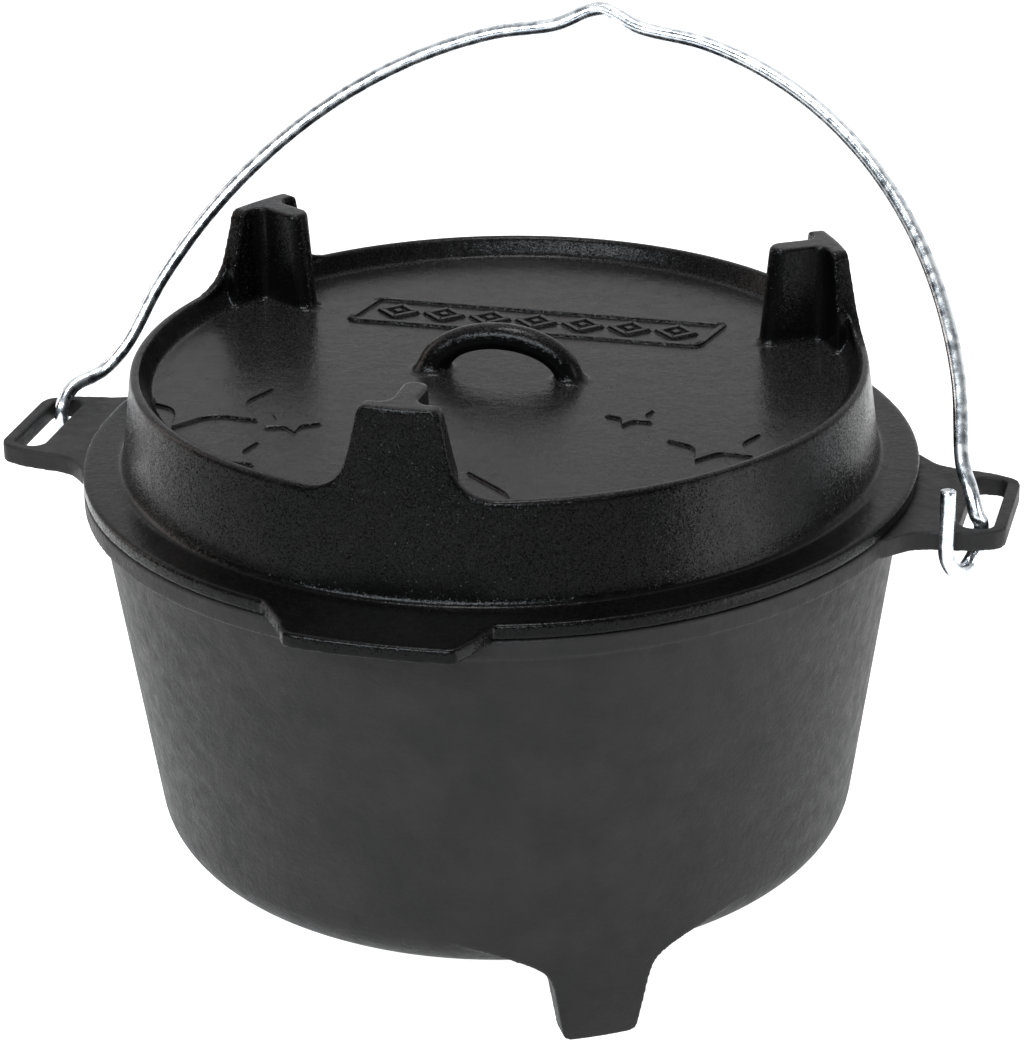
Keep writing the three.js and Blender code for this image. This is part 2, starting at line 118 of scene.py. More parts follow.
def plate(outline, z0, z1, holes=()):
    """A flat plate between two heights, with holes."""
    loops = [list(outline)] + [list(h) for h in holes]
    flat = [p for loop in loops for p in loop]
    n = len(flat)
    verts = [(x, y, z0) for x, y in flat] + [(x, y, z1) for x, y in flat]
    faces = []
    for tri in tessellate_polygon([[Vector((x, y, 0)) for x, y in loop] for loop in loops]):
        a, b, c = tri
        faces.append((c, b, a))
        faces.append((a + n, b + n, c + n))
    start = 0
    for loop in loops:
        for i in range(len(loop)):
            j = (i + 1) % len(loop)
            faces.append((start + i, start + j, start + j + n, start + i + n))
        start += len(loop)
    return verts, faces


def blade(heights, left, right, outer, inner, angle, columns=24):
    """A wall-following blade: at each height it spans left to right across the radius."""
    a0 = math.radians(angle)
    axis = np.array((math.cos(a0), math.sin(a0)))
    side = np.array((-math.sin(a0), math.cos(a0)))
    verts = []
    for z in heights:
        for face in (outer, inner):
            for i in range(columns + 1):
                s = left(z) + (right(z) - left(z)) * i / columns
                r = face(z, s)
                p = axis * r + side * s
                verts.append((p[0], p[1], z))
    w = columns + 1
    faces = []
    rows = len(heights)
    for k in range(rows - 1):
        a, b = k * 2 * w, (k + 1) * 2 * w
        for i in range(columns):
            faces.append((a + i, a + i + 1, b + i + 1, b + i))
            faces.append((a + w + i + 1, a + w + i, b + w + i, b + w + i + 1))
        faces.append((a + w, a, b, b + w))
        faces.append((a + columns, a + w + columns, b + w + columns, b + columns))
    for k, flip in ((0, True), (rows - 1, False)):
        a = k * 2 * w
        for i in range(columns):
            f = (a + i, a + i + 1, a + w + i + 1, a + w + i)
            faces.append(f[::-1] if flip else f)
    return verts, faces


def lofted(sections):
    """Outlines with the same number of points, one above the other, joined and capped."""
    n = len(sections[0])
    verts = [tuple(p) for s in sections for p in s]
    faces = []
    for k in range(len(sections) - 1):
        for i in range(n):
            j = (i + 1) % n
            faces.append((k * n + i, k * n + j, (k + 1) * n + j, (k + 1) * n + i))
    faces.append(tuple(range(n))[::-1])
    faces.append(tuple((len(sections) - 1) * n + i for i in range(n)))
    return verts, faces


def tube(points, radii, sides=24):
    """A tube along points, with its own radius at each, closed by flat ends."""
    pts = [Vector(p) for p in points]
    normal = None
    verts, faces = [], []
    for i, p in enumerate(pts):
        ahead = pts[min(i + 1, len(pts) - 1)]
        behind = pts[max(i - 1, 0)]
        t = (ahead - behind).normalized()
        if normal is None:
            normal = t.orthogonal().normalized()
        normal = (normal - t * normal.dot(t)).normalized()
        other = t.cross(normal)
        for k in range(sides):
            a = 2 * math.pi * k / sides
            verts.append(tuple(p + (normal * math.cos(a) + other * math.sin(a)) * radii[i]))
    for i in range(len(pts) - 1):
        for k in range(sides):
            m = (k + 1) % sides
            faces.append((i * sides + k, i * sides + m, (i + 1) * sides + m, (i + 1) * sides + k))
    faces.append(tuple(range(sides))[::-1])
    faces.append(tuple((len(pts) - 1) * sides + k for k in range(sides)))
    return verts, faces


def joined(solids):
    verts, faces = [], []
    for v, f in solids:
        start = len(verts)
        verts.extend(v)
        faces.extend(tuple(i + start for i in face) for face in f)
    return verts, faces


def spun(solid, turn):
    """A solid turned about Z, in degrees."""
    a = math.radians(turn)
    c, s = math.cos(a), math.sin(a)
    verts, faces = solid
    return [(x * c - y * s, x * s + y * c, z) for x, y, z in verts], faces


def arc(cx, cy, r, start, end, steps):
    """Points on an arc from start to end, in degrees."""
    out = []
    for i in range(steps + 1):
        a = math.radians(start + (end - start) * i / steps)
        out.append((cx + r * math.cos(a), cy + r * math.sin(a)))
    return out


def table(pairs):
    """Straight steps through (height, value) pairs, in rising height, as a function of height."""
    heights = [p[0] for p in pairs]
    values = [p[1] for p in pairs]

    def value(z):
        return float(np.interp(z, heights, values))

    return value


def mirrored(function):
    def value(z):
        return -function(z)

    return value


def rib_plan(root, reach, half, steps):
    """A rib seen from above: a filleted root, mirrored, and a round inner end."""
    end = [(x, -y) for x, y in arc(reach + half, 0, half, 90, 270, steps)]
    return [(x, -y) for x, y in reversed(root)] + end + root


def make(name, solid):
    verts, faces = solid
    mesh = bpy.data.meshes.new(name)
    mesh.from_pydata([(x * MM, y * MM, z * MM) for x, y, z in verts], [], faces)
    mesh.validate()
    obj = bpy.data.objects.new(name, mesh)
    bpy.context.scene.collection.objects.link(obj)
    return obj


# ---------------------------------------------------------------- casting: union and small fillets
def cast(name, solid, voxel, passes):
    """Solids joined into one casting: a voxel union whose edges and inner corners are then smoothed."""
    obj = make(name, solid)
    remesh = obj.modifiers.new("union", "REMESH")
    remesh.mode = "VOXEL"
    remesh.voxel_size = voxel * MM
    remesh.adaptivity = 0
    smooth = obj.modifiers.new("soften", "SMOOTH")
    smooth.factor = 0.5
    smooth.iterations = passes
    bpy.context.view_layer.update()
    graph = bpy.context.evaluated_depsgraph_get()
    mesh = bpy.data.meshes.new_from_object(obj.evaluated_get(graph))
    old = obj.data
    obj.modifiers.clear()
    obj.data = mesh
    bpy.data.meshes.remove(old)
    mesh.name = name
    mesh.polygons.foreach_set("use_smooth", [True] * len(mesh.polygons))
    return obj


def keep_inside(obj, node):
    """Moves any point that stands outside the box of a CAD node onto that box."""
    low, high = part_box(node)
    n = len(obj.data.vertices)
    co = np.empty(n * 3, np.float32)
    obj.data.vertices.foreach_get("co", co)
    co = co.reshape(-1, 3)
    co = np.clip(co, np.array(low, np.float32), np.array(high, np.float32))
    obj.data.vertices.foreach_set("co", co.ravel())
    obj.data.update()


# ---------------------------------------------------------------- pot
CORNER_ARC_STEPS = 10


def corner_arc(outer, floor, radius):
    """The round between the pot's floor and its leaning wall."""
    turn = 90 - math.degrees(math.atan(WALL_TAPER))
    centre = outer - radius * math.tan(math.radians(turn / 2))
    return arc(centre, floor + radius, radius, -90, -90 + turn, CORNER_ARC_STEPS)


def pot_bowl():
    inner_top = WALL_TOP_RADIUS - WALL_THICKNESS
    inner_base = pot_radius(FLOOR_THICKNESS) - WALL_THICKNESS
    inside = corner_arc(inner_base, FLOOR_THICKNESS, CORNER_RADIUS - WALL_THICKNESS)[::-1]
    return turned(
        [(0, 0)]
        + corner_arc(BASE_RADIUS, 0, CORNER_RADIUS)
        + [
            # A small fillet under the rim.
            (pot_radius(RIM_UNDERSIDE - 3), RIM_UNDERSIDE - 3),
            (WALL_TOP_RADIUS + 0.9, RIM_UNDERSIDE - 1),
            (WALL_TOP_RADIUS + 2.2, RIM_UNDERSIDE),
            (RIM_RADIUS, RIM_UNDERSIDE),
            (RIM_RADIUS, RIM_HEIGHT),
            (inner_top, RIM_HEIGHT),
        ]
        + inside
        + [(0, FLOOR_THICKNESS)]
    )


EAR_CORNER = (190, 19.7)
EAR_CORNER_RADIUS = 7
# The rest of an ear's edge, from its corner to under the rim, as (distance out, half width).
EAR_SIDE = [
    (189.4, 27.6),
    (185, 29.0),
    (178, 30.2),
    (170, 31.2),
    (165.5, 32.6),
    (162.3, 34.6),
    (159.4, 37.8),
    (156.4, 41.2),
    (153.0, 43.6),
    (146, 44.5),
]
SLOT_INNER, SLOT_OUTER, SLOT_HALF_STRAIGHT, SLOT_CORNER = 184.2, 187.7, 19.5, 4.5
CORNER_STEPS = 6


def ear():
    half = arc(*EAR_CORNER, EAR_CORNER_RADIUS, 0, 72, CORNER_STEPS) + EAR_SIDE
    outline = half + [(x, -y) for x, y in reversed(half)]
    slot = []
    for x, y, start in (
        (SLOT_OUTER, -SLOT_HALF_STRAIGHT, -90),
        (SLOT_OUTER, SLOT_HALF_STRAIGHT, 0),
        (SLOT_INNER, SLOT_HALF_STRAIGHT, 90),
        (SLOT_INNER, -SLOT_HALF_STRAIGHT, 180),
    ):
        slot += arc(x, y, SLOT_CORNER, start, start + 90, CORNER_STEPS)
    return plate(outline[::-1], RIM_UNDERSIDE, RIM_HEIGHT, [slot])


# Edges of a foot as (height, half width): its rounded tip, then the web and the two sides of the flare.
FOOT_TIP = ((FOOT_BOTTOM, 11.2), (-31.1, 12.9), (-30.2, 13.9), (-28.5, 14.5))
FOOT_WEB = FOOT_TIP + ((-5, 18.6), (-2, 19.4), (12, 19.8))
FOOT_LEFT = FOOT_TIP + (
    (-8, 18.1),
    (-3, 19.8),
    (0.5, 22.2),
    (3, 25.6),
    (5.4, 30),
    (7.4, 34.5),
    (9.6, 40),
    (14, 52),
    (18, 64),
)
FOOT_RIGHT = FOOT_TIP + (
    (-8, 18.1),
    (-3, 19.4),
    (0.8, 21.6),
    (3.6, 25),
    (6.2, 30),
    (8.6, 36),
    (11, 43),
    (15, 56),
    (18, 66),
)
FOOT_TOP = 18
FOOT_WEB_DEPTH = 9
FOOT_RIB_DEPTH = 20
RIB_HALF_WIDTH = 4.6
# The fillet between a foot's web and its rib, from the web's inner face and the rib's side.
FOOT_RIB_ROOT = ((-4.5, 0), (-3.4, 0.5), (-1, 2.4), (3, 3))
LAYER = 0.5


def foot(angle):
    """A web and a flare in the pot's own wall, and a rib behind them."""
    web_half, left, right = table(FOOT_WEB), table(FOOT_LEFT), table(FOOT_RIGHT)
    tip_face = pot_radius(FOOT_BOTTOM) - FOOT_WEB_DEPTH
    heights = list(np.arange(FOOT_BOTTOM, FOOT_TOP + 0.01, LAYER))

    def outer(z, s):
        return math.sqrt(max(pot_radius(z) ** 2 - s * s, 1.0)) - 0.1

    def web_back(z, s):
        return tip_face - 1 + 0.04 * (z - FOOT_BOTTOM)

    def flare_back(z, s):
        return outer(z, s) - 5.5 - 0.2 * max(z, 0)

    web = blade(heights, mirrored(web_half), web_half, outer, web_back, angle)
    flare = blade(heights, mirrored(left), right, outer, flare_back, angle, 40)
    sections = []
    for z in heights:
        reach = tip_face - FOOT_RIB_DEPTH - 4 * (z - FOOT_BOTTOM) / 40
        half = RIB_HALF_WIDTH + max(0.0, z + 4) * 0.25
        root = [(tip_face + x, half + y) for x, y in FOOT_RIB_ROOT]
        plan = rib_plan(root, reach, half, 10)
        sections.append([(x, y, z) for x, y in plan][::-1])
    return [web, flare, spun(lofted(sections), angle)]


def pot():
    solids = [pot_bowl(), ear(), spun(ear(), 180)]
    for angle in FOOT_ANGLES:
        solids += foot(angle)
    return joined(solids)


# ---------------------------------------------------------------- lid
RIM_ROUND = 1.8
RIM_ROUND_STEPS = 6
RIM_INNER_CENTRE = LID_TOP_RADIUS - 2.2


def rim_arc(centre, start, end):
    return arc(centre, LID_RIM - RIM_ROUND, RIM_ROUND, start, end, RIM_ROUND_STEPS)


def lid_shell():
    def inner(z):
        return lid_radius(z) - LID_THICKNESS

    ceiling = LID_FLOOR - LID_THICKNESS
    return turned(
        [
            (0, ceiling),
            (inner(ceiling) - LID_HAUNCH, ceiling),
            (inner(ceiling - LID_HAUNCH), ceiling - LID_HAUNCH),
            (inner(SEAT), SEAT - LIP_DEPTH),
            (LIP_RADIUS, SEAT - LIP_DEPTH),
            (LIP_RADIUS, SEAT),
            (RIM_RADIUS, SEAT),
            (RIM_RADIUS, FLANGE_TOP - 0.4),
            (RIM_RADIUS - 0.6, FLANGE_TOP),
            (LID_BASE_RADIUS + 2.0, FLANGE_TOP),
            (LID_BASE_RADIUS + 0.5, FLANGE_TOP + 0.5),
            (lid_radius(FLANGE_TOP + 2.0), FLANGE_TOP + 2.0),
            *rim_arc(lid_radius(LID_RIM - RIM_ROUND) - RIM_ROUND, 5, 90),
            *rim_arc(RIM_INNER_CENTRE, 90, 160),
            # The fillet between the wall and the lid's floor.
            (133.1, LID_FLOOR + 1.5),
            (132.4, LID_FLOOR + 0.5),
            (131.2, LID_FLOOR),
            (0, LID_FLOOR),
        ]
    )


def fillet(z, radius):
    """How far a fillet of this radius stands out from a wall, at a height above the floor."""
    h = z - LID_FLOOR
    if h >= radius:
        return 0.0
    h = max(h, 0.0)
    return radius - math.sqrt(radius * radius - (radius - h) ** 2)


# Edges of a leg as (height, half width): its rounded top, then the web and the flare below it.
LEG_CORNER = (
    (LEG_TOP - 3, 15.25),
    (LEG_TOP - 1.6, 14.85),
    (LEG_TOP - 0.6, 13.9),
    (LEG_TOP - 0.1, 12.9),
    (LEG_TOP, 12.2),
)
LEG_WEB = ((180, 20.2), (200, 19.9), (203, 19.2), (207, 18.2)) + LEG_CORNER
LEG_FLARE = (
    (180, 48),
    (191.4, 44),
    (191.9, 39),
    (192.3, 34),
    (193.1, 30),
    (194.4, 26.6),
    (196.2, 23.8),
    (198.6, 21.6),
    (201.5, 19.9),
    (207, 18.2),
) + LEG_CORNER
LEG_WEB_INNER = 129
WEB_FILLET, RIB_FILLET = 2.4, 2.2
RIB_BASE_REACH, RIB_TOP_REACH = 104.5, 108.5
LEG_RIB_HALF_WIDTH = 4.7
# The fillet between a leg's web and its rib, as (distance out, distance from the rib's side).
LEG_RIB_ROOT = ((124.6, 0), (126.4, 0.3), (127.6, 1.2), (129, 3.2), (131, 3.6))


def leg(angle):
    """A web and a flare in the lid's own wall, and a rib behind them."""
    web_half, flare_half = table(LEG_WEB), table(LEG_FLARE)
    layers = np.arange(LID_FLOOR - 2.5, LEG_TOP, LAYER)
    heights = sorted({*layers, LEG_TOP - 0.6, LEG_TOP - 0.1, LEG_TOP})

    def outer(z, s):
        return math.sqrt(lid_radius(z) ** 2 - s * s) - 0.05

    def web_back(z, s):
        return LEG_WEB_INNER - fillet(z, WEB_FILLET)

    def flare_back(z, s):
        return outer(z, s) - 4

    web = blade(heights, mirrored(web_half), web_half, outer, web_back, angle)
    flare = blade(heights, mirrored(flare_half), flare_half, outer, flare_back, angle, 48)
    sections = []
    for z in heights:
        part = (z - LID_FLOOR) / (LEG_TOP - LID_FLOOR)
        spread = fillet(z, RIB_FILLET)
        reach = RIB_BASE_REACH + (RIB_TOP_REACH - RIB_BASE_REACH) * part
        half = LEG_RIB_HALF_WIDTH + spread
        reach = reach - spread + max(0.0, z - (LEG_TOP - 1.2)) * 0.8
        root = [(x, half + y) for x, y in LEG_RIB_ROOT]
        plan = rib_plan(root, reach, half, 12)
        sections.append([(x, y, z) for x, y in plan][::-1])
    return [web, flare, spun(lofted(sections), angle)]


# The pull tab seen from above, from its left root round its front edge to its right root.
TAB_OUTLINE = (
    (-52, -146),
    (-47.5, -151.8),
    (-42.5, -158.2),
    (-38.4, -163.6),
    (-35, -169),
    (-33.2, -173.2),
    (-31.2, -176),
    (-28, -177.2),
    (-14, -178.6),
    (0, -179.1),
    (14, -178.8),
    (28.6, -177.8),
    (30.9, -176.6),
    (34.6, -168),
    (37.7, -158),
    (40, -148),
    (0, -140),
)
LOOP_CENTRE, LOOP_HALF_SPAN, LOOP_RISE, LOOP_RADIUS = 0.8, 26.5, 15.6, 5.2
# The loop starts and ends below the lid's floor: its first angle and its sweep, in half turns.
LOOP_START, LOOP_SWEEP = 1.07, 1.14
LOOP_STEPS = 60
LOOP_SIDES = 32


def loop_handle():
    """A half hoop along X, thicker where it meets the floor and more so on its left side."""
    points, radii = [], []
    for i in range(LOOP_STEPS + 1):
        angle = math.pi * (LOOP_START - LOOP_SWEEP * i / LOOP_STEPS)
        z = LID_FLOOR + LOOP_RISE * math.sin(angle)
        x = LOOP_CENTRE + LOOP_HALF_SPAN * math.cos(angle)
        points.append((x, 0.0, z))
        above = max(z - LID_FLOOR, 0)
        root = 2.0 * max(0.0, 1 - above / 3.2) ** 2
        spread = 1.5 * max(0.0, 1 - above / 12) if x < 0 else 0.1
        radii.append(LOOP_RADIUS + root + spread)
    return tube(points, radii, LOOP_SIDES)


def inset(outline, amount):
    """The outline drawn in by an amount, corner by corner, for anticlockwise points."""
    out = []
    n = len(outline)
    for i in range(n):
        a, b, c = (np.array(outline[(i + k) % n]) for k in (-1, 0, 1))
        d1 = (b - a) / max(np.linalg.norm(b - a), 1e-9)
        d2 = (c - b) / max(np.linalg.norm(c - b), 1e-9)
        n1, n2 = np.array((-d1[1], d1[0])), np.array((-d2[1], d2[0]))
        m = n1 + n2
        m = m / max(m @ n1, 0.35)
        out.append(tuple(b + m * amount))
    return out


def clipped(outline, radius, steps=180):
    """The part of an anticlockwise outline inside a circle about the middle."""
    turns = [2 * math.pi * i / steps for i in range(steps)]
    disc = [(radius * math.cos(a), radius * math.sin(a)) for a in turns]
    out = list(outline)
    for i in range(steps):
        (ax, ay), (bx, by) = disc[i], disc[(i + 1) % steps]
        ex, ey = bx - ax, by - ay
        kept = []
        for j in range(len(out)):
            p, q = out[j], out[(j + 1) % len(out)]
            sp, sq = (ex * (k[1] - ay) - ey * (k[0] - ax) for k in (p, q))
            if sp >= 0:
                kept.append(p)
            if (sp > 0 > sq) or (sp < 0 < sq):
                t = sp / (sp - sq)
                kept.append((p[0] + (q[0] - p[0]) * t, p[1] + (q[1] - p[1]) * t))
        out = kept
    return out


RELIEF = 1.15
BEVEL = 0.45
# Relief from its sunken root up, as (how far its outline is drawn in, height above the lid's floor).
RELIEF_LEVELS = ((-0.5, -1), (-0.35, 0.02), (-0.05, 0.3), (BEVEL * 0.35, RELIEF * 0.85), (BEVEL, RELIEF))


def raised(outline):
    """A shape raised on the lid's floor: its top edge is drawn in, and its root is sunk into the floor."""
    n = len(outline)
    rings = [(inset(outline, amount), LID_FLOOR + height) for amount, height in RELIEF_LEVELS]
    verts = [(x, y, z) for ring, z in rings for x, y in ring]
    faces = []
    for k in range(len(rings) - 1):
        for i in range(n):
            j = (i + 1) % n
            faces.append((k * n + i, k * n + j, (k + 1) * n + j, (k + 1) * n + i))
    top = (len(rings) - 1) * n
    for a, b, c in tessellate_polygon([[Vector((x, y, 0)) for x, y in outline]]):
        faces.append((top + a, top + b, top + c))
        faces.append((c, b, a))
    return verts, faces


def framed(outer, width):
    """A raised band that follows an anticlockwise outline."""
    parts = []
    n = len(outer)
    inner = inset(outer, width)
    for i in range(n):
        j = (i + 1) % n
        parts.append(raised([outer[i], outer[j], inner[j], inner[i]]))
    return parts


PANEL_HALF, PANEL_FRONT, PANEL_BACK, PANEL_SLANT = 75, 43.5, 70.5, 6
PANEL_CORNER = 4
PANEL_BAND, LOZENGE_BAND = 2.6, 2.3
LOZENGES = 7
LOZENGE_SIZE, LOZENGE_CORE = (8.6, 8), (2.4, 2.2)


def lozenge(x, y, half_width, half_depth):
    return [(x - half_width, y), (x, y - half_depth), (x + half_width, y), (x, y + half_depth)]


def panel():
    """A slanted frame with rounded corners that holds a row of lozenges."""
    outer = []
    corners = [
        (-PANEL_HALF, PANEL_FRONT),
        (PANEL_HALF - PANEL_SLANT, PANEL_FRONT),
        (PANEL_HALF, PANEL_BACK),
        (-PANEL_HALF + PANEL_SLANT, PANEL_BACK),
    ]
    for i in range(4):
        a, b, c = (np.array(corners[(i + k) % 4], float) for k in (-1, 0, 1))
        u = (a - b) / np.linalg.norm(a - b)
        v = (c - b) / np.linalg.norm(c - b)
        for t in (0, 0.25, 0.5, 0.75, 1):
            outer.append(tuple(b + u * PANEL_CORNER * (1 - t) ** 2 + v * PANEL_CORNER * t**2))
    parts = framed(outer, PANEL_BAND)
    middle = (PANEL_FRONT + PANEL_BACK) / 2
    spacing = (2 * PANEL_HALF - 3 * PANEL_SLANT) / LOZENGES
    for i in range(LOZENGES):
        x = (i - LOZENGES // 2) * spacing
        parts += framed(lozenge(x, middle, *LOZENGE_SIZE), LOZENGE_BAND)
        parts.append(raised(lozenge(x, middle, *LOZENGE_CORE)))
    return parts


STAR_WAIST = 0.48
STAR_ROUNDING = 0.35
STAR_BEND_STEPS = 6
STAR_LIMIT = 131.6
# Each star as (x, y, radius, angle of its first point).
STARS = (
    (-99, -52.5, 27, 43),
    (-62.3, -64.5, 10.9, 5),
    (-79.8, -99, 17.6, 49),
    (59, -32, 9.6, 45),
    (94.8, -51, 18, 40),
    (57, -108, 45, 93),
)


def star(x, y, radius, turn):
    """Five points with rounded waists between them."""

    def at(reach, step):
        a = math.radians(turn + 72 * step)
        return np.array((x + reach * math.cos(a), y + reach * math.sin(a)))

    out = []
    for i in range(5):
        tip, waist, after = at(radius, i), at(radius * STAR_WAIST, i + 0.5), at(radius, i + 1)
        out.append(tuple(tip))
        bend = waist + (tip - waist) * STAR_ROUNDING, waist + (after - waist) * STAR_ROUNDING
        for k in range(STAR_BEND_STEPS + 1):
            t = k / STAR_BEND_STEPS
            out.append(tuple(bend[0] * (1 - t) ** 2 + waist * 2 * t * (1 - t) + bend[1] * t * t))
    return out


def lid():
    solids = [lid_shell(), plate(TAB_OUTLINE, SEAT, FLANGE_TOP), loop_handle()]
    for angle in LEG_ANGLES:
        solids += leg(angle)
    return joined(solids)


# ---------------------------------------------------------------- bail
EAR_MIDDLE = 145.25
BAR_X = 185.95
BAR_Y = 26.6
YAW = math.atan2(-BAR_Y, BAR_X)
OFFSET = math.hypot(BAR_X, BAR_Y)
LEAN = math.radians(40)
WIRE_RADIUS = 2.85
HOOK = 9.2
HOOK_TWIST = 7.6
ARCH_SHIFT, ARCH_HALF_SPAN, ARCH_CENTRE, ARCH_RISE, ARCH_FOOT = 2.7, 178.7, -12.1, 200.9, 28.3
PEAK_SHIFT, PEAK_RISE, PEAK_HALF_WIDTH = -6.3, 6.1, 17
PEAK_STEP, PEAK_STEP_RISE = 5.67, 4.58
HOOK_DROP, HOOK_RISE = 3.5, 3
# Each hook: its tip's height, then two points above its bar as (inward, back, up) and (inward, reach).
LEFT_HOOK = (0.5, (1, -1.1, 8.9), (8.5, 16.5))
RIGHT_HOOK = (22, (1.5, 8.4, 6.5), (5, 18.5))
BEND_STEPS, ARCH_STEPS, SPAN_STEPS = 6, 8, 12
ALONG = Vector((math.cos(YAW), math.sin(YAW), 0))
BACK = Vector((-math.sin(YAW), math.cos(YAW), 0))


def bail_point(span, depth, height):
    """A point from the middle of the hinge: along it, square to it and above it."""
    return Vector((0, 0, EAR_MIDDLE + height)) + ALONG * span + BACK * depth


def leaning(span, reach):
    """A point on the plane in which the arch leans back."""
    return bail_point(span, reach * math.sin(LEAN), reach * math.cos(LEAN))


def hook(side, tip, low, high):
    leg_span = OFFSET * side
    free = (OFFSET - HOOK_TWIST) * side
    depth = HOOK * side
    pts = [bail_point(free, -depth, tip), bail_point(free, -depth, tip / 2)]
    for i in range(BEND_STEPS + 1):
        a = math.pi * i / BEND_STEPS
        span = free + (leg_span - free) * i / BEND_STEPS
        pts.append(bail_point(span, -depth * math.cos(a), -HOOK_DROP - HOOK * math.sin(a)))
    pts.append(bail_point(leg_span, depth, HOOK_RISE))
    pts.append(bail_point(leg_span - low[0] * side, low[1], low[2]))
    pts.append(leaning(leg_span - high[0] * side, high[1]))
    return pts


def arch(side):
    start = math.asin((ARCH_FOOT - ARCH_CENTRE) / ARCH_RISE)
    shoulder = PEAK_SHIFT + PEAK_HALF_WIDTH * side
    end = math.acos((shoulder - ARCH_SHIFT) * side / ARCH_HALF_SPAN)
    pts = []
    for i in range(ARCH_STEPS + 1):
        a = start + (end - start) * i / ARCH_STEPS
        span = ARCH_SHIFT + ARCH_HALF_SPAN * math.cos(a) * side
        pts.append(leaning(span, ARCH_CENTRE + ARCH_RISE * math.sin(a)))
    return pts


def centripetal(points):
    """A centripetal Catmull-Rom curve through the points."""
    p = [2 * points[0] - points[1]] + points + [2 * points[-1] - points[-2]]
    out = []
    for i in range(1, len(p) - 2):
        p0, p1, p2, p3 = p[i - 1], p[i], p[i + 1], p[i + 2]
        d1, d2, d3 = (math.sqrt(max((b - a).length, 1e-6)) for a, b in ((p0, p1), (p1, p2), (p2, p3)))
        m1 = (p1 - p0) / d1 - (p2 - p0) / (d1 + d2) + (p2 - p1) / d2
        m2 = (p2 - p1) / d2 - (p3 - p1) / (d2 + d3) + (p3 - p2) / d3
        m1, m2 = m1 * d2, m2 * d2
        for k in range(SPAN_STEPS):
            t = k / SPAN_STEPS
            t2, t3 = t * t, t * t * t
            near = (2 * t3 - 3 * t2 + 1) * p1 + (t3 - 2 * t2 + t) * m1
            out.append(near + (-2 * t3 + 3 * t2) * p2 + (t3 - t2) * m2)
    out.append(points[-1])
    return out


def bail():
    top = ARCH_CENTRE + ARCH_RISE
    left = hook(-1, *LEFT_HOOK) + arch(-1)
    right = (hook(1, *RIGHT_HOOK) + arch(1))[::-1]
    peak = [
        leaning(PEAK_SHIFT - PEAK_STEP, top + PEAK_STEP_RISE),
        leaning(PEAK_SHIFT, top + PEAK_RISE),
        leaning(PEAK_SHIFT + PEAK_STEP, top + PEAK_STEP_RISE),
    ]
    path = centripetal(left + peak + right)
    return tube(path, [WIRE_RADIUS] * len(path))


# ---------------------------------------------------------------- materials
class Tree:
    """A node tree, with the kinds of node that the materials and the world share."""

    def __init__(self, tree):
        self.nodes = tree.nodes
        self.links = tree.links

    def feed(self, node, inputs):
        """Each input takes another node's output or a plain value."""
        for key, value in inputs.items():
            if isinstance(value, bpy.types.NodeSocket):
                self.links.new(value, node.inputs[key])
            else:
                node.inputs[key].default_value = value

    def add(self, kind, inputs):
        node = self.nodes.new("ShaderNode" + kind)
        self.feed(node, inputs)
        return node

    def noise(self, place, scale, detail, roughness=0.5):
        inputs = {"Vector": place, "Scale": scale, "Detail": detail, "Roughness": roughness}
        return self.add("TexNoise", inputs).outputs["Fac"]

    def ramp(self, source, start, end, low, high):
        """Low up to the start, high from the end, and in proportion between them."""
        inputs = {"Value": source, "From Min": start, "From Max": end, "To Min": low, "To Max": high}
        return self.add("MapRange", inputs)

    def bump(self, height, strength, distance, before=None):
        inputs = {"Height": height, "Strength": strength, "Distance": distance}
        if before is not None:
            inputs["Normal"] = before
        return self.add("Bump", inputs).outputs["Normal"]

    def mix(self, first, second, factor):
        node = self.nodes.new("ShaderNodeMix")
        node.data_type = "RGBA"
        self.feed(node, {"A": first, "B": second, "Factor": factor})
        return node.outputs["Result"]

    def arithmetic(self, operation, first, second):
        node = self.nodes.new("ShaderNodeMath")
        node.operation = operation
        self.feed(node, {0: first, 1: second})
        return node.outputs[0]

    def vector(self, operation, inputs):
        node = self.nodes.new("ShaderNodeVectorMath")
        node.operation = operation
        self.feed(node, inputs)
        return node.outputs[0]


def material(name):
    mat = bpy.data.materials.new(name)
    mat.use_nodes = True
    tree = Tree(mat.node_tree)
    tree.nodes.clear()
    out = tree.add("OutputMaterial", {})
    shader = tree.add("BsdfPrincipled", {})
    tree.links.new(shader.outputs[0], out.inputs[0])
    return mat, tree, shader


DUST_COLOUR = (0.045, 0.041, 0.041, 1)
LEVEL_FACE = (0.35, 0.95)
TRAY_HEIGHT = (0.165, 0.18)
LOW_DUST = 0.12
FACET_SCALE = 2700


